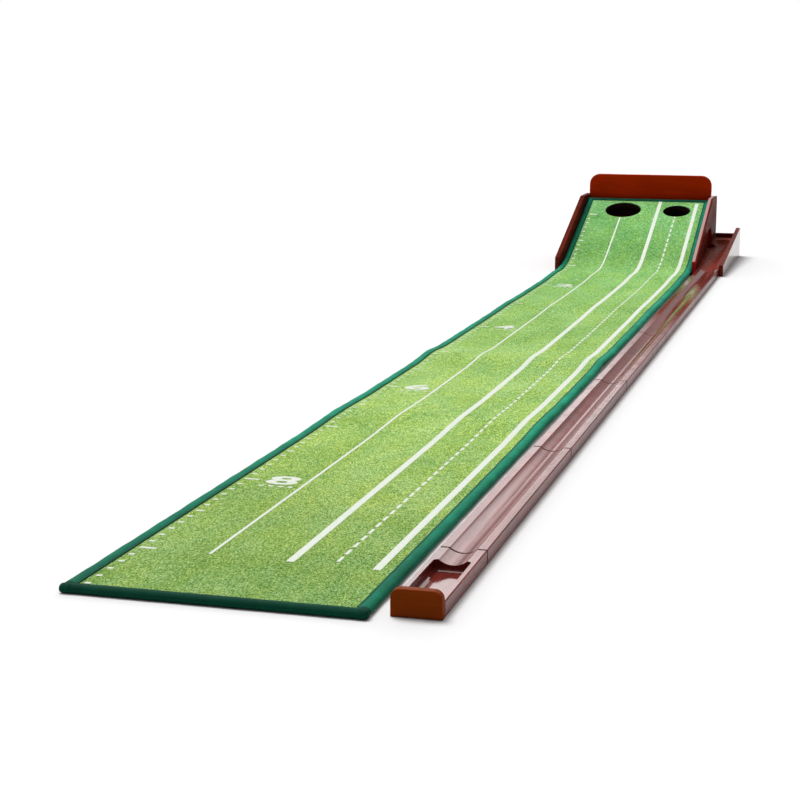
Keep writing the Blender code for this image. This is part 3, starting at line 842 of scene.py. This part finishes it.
# ------------------------------------------------------------------ wood
class PUTTINGMAT_OT_woodwork(Operator):
    """Finish the base, backboard, side tray, ball track and end cap"""

    bl_idname = "puttingmat.woodwork"
    bl_label = "Woodwork"

    def execute(self, context):
        wood = context.scene.puttingmat_wood
        panel = tuple(wood.panel)
        along = wood_finish("panel_lacquer", panel, "Y", roughness=0.30, ior=1.02, streaks=0.7,
                            wear=0.2)
        inner, outer = (corner.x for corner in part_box("panel_right"))
        right = wood_finish("right_panel_lacquer", panel, "Y", roughness=0.30, ior=1.02,
                            streaks=0.7, wear=0.2,
                            # painted highlight: a pale pink strip along the inner part of the
                            # panel's top; faces turned to the front are drawn a brighter red
                            turned=(("Z", 0.6, 0.8, (0.60, 0.38, 0.37), inner + 0.0065),
                                    ("Y", -0.6, -0.8, (0.45, 0.02, 0.02), outer)))
        tray = wood_finish("tray_lacquer", tuple(wood.tray), "Y", roughness=0.34, ior=1.03,
                           streaks=0.8)
        wing = wood_finish("wing_lacquer", panel, "Y", roughness=0.30, ior=1.03, streaks=0.7,
                           shiny_side=True)
        across = wood_finish("rail_lacquer", panel, "X", roughness=0.24, ior=1.10, streaks=0.7)
        board = wood_finish("board_lacquer", tuple(wood.board), "X", dark=0.75, light=1.3,
                            roughness=0.25, ior=1.05, streaks=0.35, worn=(0.50, 0.05, 0.01),
                            # painted shade: faces turned to the back are drawn darker
                            turned=(("Y", 0.5, 0.8, (0.24, 0.020, 0.004), CAD_BOX[1].x),))
        track = wood_finish("track_lacquer", tuple(wood.track), "Y", dark=0.5, light=1.6,
                            roughness=0.09, ior=1.22, streaks=1.0, worn=(0.55, 0.20, 0.14),
                            joints=True)
        cap = wood_finish("cap_lacquer", tuple(wood.cap), "X", dark=0.8, light=1.2,
                          roughness=0.30, ior=1.05, worn=(0.40, 0.02, 0.003), wear=0.9)
        raw_along = raw_wood_finish("inside_stain_long", tuple(wood.inside), "Y")
        raw_across = raw_wood_finish("inside_stain_cross", tuple(wood.inside), "X")
        dowel = raw_wood_finish("dowel_beech", tuple(wood.dowel), "Y")
        chosen = {"backboard": board, "end_cap": cap, "back_rail": across, "tray_wall": across,
                  "ramp_deck": raw_along, "brass_cup": brass_finish(), "tray_block": tray,
                  "wing": wing, "panel_right": right}
        for name, node in frame["nodes"].items():
            if name.startswith(("turf", "binding")):
                continue
            if name in chosen:
                material = chosen[name]
            elif name.startswith(("track", "ball_tray")):
                material = track
            elif name.startswith("panel"):
                material = along
            elif name.startswith("dowel"):
                material = dowel
            else:
                material = raw_across
            for i in range(max(len(node.data.materials), 1)):
                if node.data.materials:
                    node.data.materials[i] = material
                else:
                    node.data.materials.append(material)
            if material in (along, right, across, board, track, cap, tray, wing):
                soft = node.modifiers.new("soft_edges", "BEVEL")
                soft.width = wood.edge_round
                soft.segments = 2
                soft.limit_method = "ANGLE"
                soft.angle_limit = radians(40)
                soft.harden_normals = True
        return {"FINISHED"}


# ------------------------------------------------------------------ stage
class PUTTINGMAT_OT_stage(Operator):
    """Make the pale floor, the soft light and the camera"""

    bl_idname = "puttingmat.stage"
    bl_label = "Stage"

    def light(self, context, stage):
        """A white room to look at, lit from above, from the left and by two boxes behind."""
        world = bpy.data.worlds.new("soft_studio")
        world.use_nodes = True
        context.scene.world = world
        world.node_tree.nodes.clear()
        room = Nodes(world.node_tree)
        way = room.add("ShaderNodeTexCoord", {}, {}).out("Generated")

        x, y, z = (room.axis(way, letter) for letter in "XYZ")

        def rise(value, low, high, top=1.0):
            return room.add("ShaderNodeMapRange", {"interpolation_type": "SMOOTHSTEP"},
                            {0: value, 1: low, 2: high, 3: 0.0, 4: top})

        band = rise(z, 0.25, 0.34, 4.2) * (1 - rise(z, 0.38, 0.52))
        slant = x + z * 0.71
        box = rise(slant, 0.0, -0.010) * (2.8 - rise(slant, -0.045, -0.065, 1.8))
        box = box * rise(z, 0.14, 0.19) * (1 - rise(z, 0.30, 0.42))
        soft = rise(y, 0.3, 0.8) * (band + box + 0.45) + rise(z, 0.45, 0.90, 0.52)
        soft = (soft + rise(x, -0.20, -0.90, 0.60) + 0.08) * stage.sky_strength
        lit = room.add("ShaderNodeBackground", {}, {"Strength": soft})
        seen = room.add("ShaderNodeBackground", {}, {"Color": (1.0, 1.0, 1.0)})
        camera_ray = room.add("ShaderNodeLightPath", {}, {}).out("Is Camera Ray")
        both = room.add("ShaderNodeMixShader", {}, {0: camera_ray, 1: lit, 2: seen})
        room.add("ShaderNodeOutputWorld", {}, {"Surface": both})

        lamp = bpy.data.lights.new("key_light", "SUN")
        lamp.energy = stage.key_strength
        lamp.angle = radians(32)
        holder = bpy.data.objects.new("key_light", lamp)
        holder.rotation_mode = "QUATERNION"
        holder.rotation_quaternion = Vector((-0.33, 0.30, 0.90)).to_track_quat("Z", "Y")
        context.scene.collection.objects.link(holder)

    def execute(self, context):
        stage = context.scene.puttingmat_stage
        scene = context.scene
        work = bmesh.new()
        bmesh.ops.create_grid(work, x_segments=8, y_segments=8, size=60)
        bmesh.ops.translate(work, vec=(0, 0, -0.0004), verts=work.verts)
        floor = piece_from("studio_floor", work)
        f = Finish("floor_paper")
        speck = f.noise((30, 30, 30), 2.0, 0.5)
        colour = f.mix(speck, tint(stage.floor, 0.995), tint(stage.floor, 1.005))
        floor.data.materials.append(f.close(Base_Color=colour, Roughness=0.95,
                                            Specular_IOR_Level=0.1))

        self.light(context, stage)

        lens = bpy.data.cameras.new("camera")
        lens.lens = stage.lens
        lens.sensor_width = 36.0
        lens.dof.use_dof = False
        lens.clip_end = 200.0
        camera = bpy.data.objects.new("camera", lens)
        turn = Matrix.Rotation(0.26975, 4, "Z") @ Matrix.Rotation(pi / 2 - 0.19552, 4, "X")
        turn = turn @ Matrix.Rotation(0.002022, 4, "Z")
        camera.matrix_world = Matrix.Translation((0.5496, -2.9598, 0.5020)) @ turn
        scene.collection.objects.link(camera)
        scene.camera = camera
        scene.view_settings.view_transform = "Standard"
        return {"FINISHED"}


class PUTTINGMAT_PT_sidebar(Panel):
    """Lists the steps that build the putting mat"""

    bl_label = "Putting Mat"
    bl_idname = "PUTTINGMAT_PT_sidebar"
    bl_space_type = "VIEW_3D"
    bl_region_type = "UI"
    bl_category = "Putting Mat"

    def draw(self, context):
        for step in STEPS:
            self.layout.operator(step.bl_idname)
        for group in ("mat", "marks", "wood", "stage"):
            settings = getattr(context.scene, "puttingmat_" + group)
            box = self.layout.box()
            for prop in settings.bl_rna.properties:
                if prop.identifier not in ("rna_type", "name"):
                    box.prop(settings, prop.identifier)


STEPS = (PUTTINGMAT_OT_stage, PUTTINGMAT_OT_turf, PUTTINGMAT_OT_binding, PUTTINGMAT_OT_lines,
         PUTTINGMAT_OT_distance_marks, PUTTINGMAT_OT_woodwork)
GROUPS = {"mat": MatSettings, "marks": MarkSettings, "wood": WoodSettings,
          "stage": StageSettings}


def register():
    for cls in (*GROUPS.values(), *STEPS, PUTTINGMAT_PT_sidebar):
        bpy.utils.register_class(cls)
    for name, group in GROUPS.items():
        setattr(bpy.types.Scene, "puttingmat_" + name, PointerProperty(type=group))


def unregister():
    for name in GROUPS:
        delattr(bpy.types.Scene, "puttingmat_" + name)
    for cls in (PUTTINGMAT_PT_sidebar, *STEPS, *GROUPS.values()):
        bpy.utils.unregister_class(cls)


def main():
    register()
    for step in STEPS:
        group, name = step.bl_idname.split(".")
        getattr(getattr(bpy.ops, group), name)()
    pieces = bpy.data.objects
    hem = [o for o in pieces if o.name.startswith(("binding_tape", "tucked_end", "seam"))]
    hem += [o for o in pieces if o.name.startswith(("aim_lines", "distance_"))]


if __name__ == "__main__":
    main()
